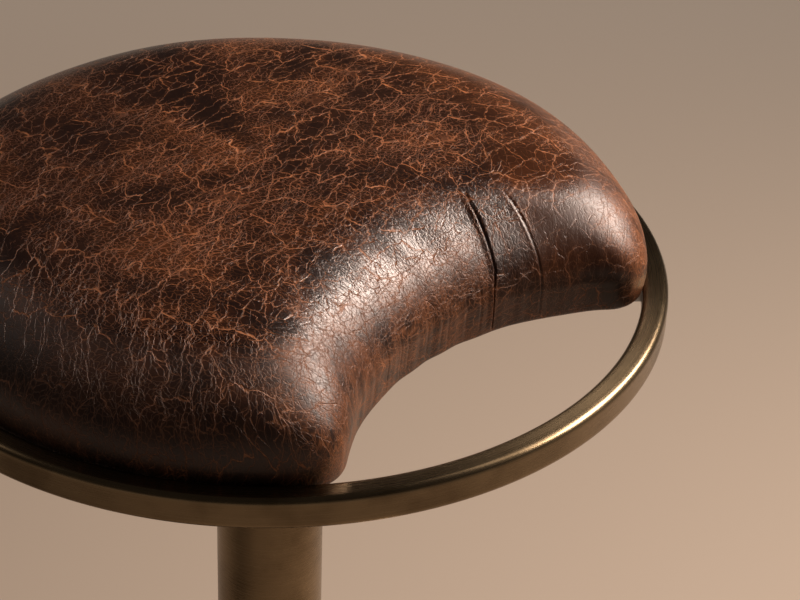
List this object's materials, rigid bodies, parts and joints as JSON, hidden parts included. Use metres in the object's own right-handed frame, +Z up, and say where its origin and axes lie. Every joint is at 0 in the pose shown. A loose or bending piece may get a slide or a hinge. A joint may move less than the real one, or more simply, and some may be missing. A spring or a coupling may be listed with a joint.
{
  "type": "swivel bar stool",
  "caption": "Pedestal bar stool with a crescent leather seat pad inside a flat-bar ring that swivels on a column with a footrest ring and a round base.",
  "frame": {"origin": "on the floor, at the middle of the round base, on the swivel's axis", "axes": "+Z up along the column, the seat's notch faces -Y at rest"},
  "size_m": [0.43, 0.43, 0.7596],
  "materials": {
    "leather": "distressed, crackled, waxed",
    "foam": "open-cell foam",
    "plywood": "raw plywood",
    "black_cloth": "non-woven cloth",
    "antique_brass": "brushed, antiqued",
    "bearing_bronze": "turned",
    "steel": "zinc-plated or blackened",
    "cast_iron": "painted black",
    "rubber": "moulded"
  },
  "bodies": {
    "stand": {"column_tube": "antique_brass", "footrest_ring": "antique_brass", "footrest_hub": "antique_brass", "footrest_spoke_1": "antique_brass", "footrest_spoke_2": "antique_brass", "footrest_spoke_3": "antique_brass", "base_cover": "antique_brass", "base_collar": "antique_brass", "upper_bush": "bearing_bronze", "lower_bush": "bearing_bronze", "lower_race": "steel", "bearing_housing": "steel", "column_foot_plug": "steel", "base_washer": "steel", "base_bolt": "steel", "grub_screw_1": "steel", "grub_screw_2": "steel", "grub_screw_3": "steel", "base_weight": "cast_iron", "floor_ring": "rubber"},
    "seat": {"seat_ring": "antique_brass", "leather_cover": "leather", "foam_pad": "foam", "seat_board": "plywood", "dust_cover": "black_cloth", "seat_spider": "steel", "spindle": "steel", "spindle_pin": "steel", "spindle_washer": "steel", "spindle_nut": "steel", "swivel_skirt": "antique_brass", "upper_race": "steel", "seat_screw_1": "steel", "seat_screw_2": "steel", "seat_screw_3": "steel", "seat_screw_4": "steel", "seat_washer_1": "steel", "seat_washer_2": "steel", "seat_washer_3": "steel", "seat_washer_4": "steel", "tee_nut_1": "steel", "tee_nut_2": "steel", "tee_nut_3": "steel", "tee_nut_4": "steel"},
    "bearing_cage": {"ball_cage": "bearing_bronze", "bearing_ball_1": "steel", "bearing_ball_2": "steel", "bearing_ball_3": "steel", "bearing_ball_4": "steel", "bearing_ball_5": "steel", "bearing_ball_6": "steel", "bearing_ball_7": "steel", "bearing_ball_8": "steel", "bearing_ball_9": "steel", "bearing_ball_10": "steel"}
  },
  "joints": [
    {"name": "seat_swivel", "type": "hinge", "parent": "stand", "child": "seat", "pos_m": [0, 0, 0.705], "axis": [0, 0, 1], "continuous": true},
    {"name": "cage_roll", "type": "hinge", "parent": "stand", "child": "bearing_cage", "pos_m": [0, 0, 0.676], "axis": [0, 0, 1], "continuous": true}
  ],
  "couplings": [
    {"joint": "cage_roll", "follows": "seat_swivel", "ratio": 0.5}
  ]
}
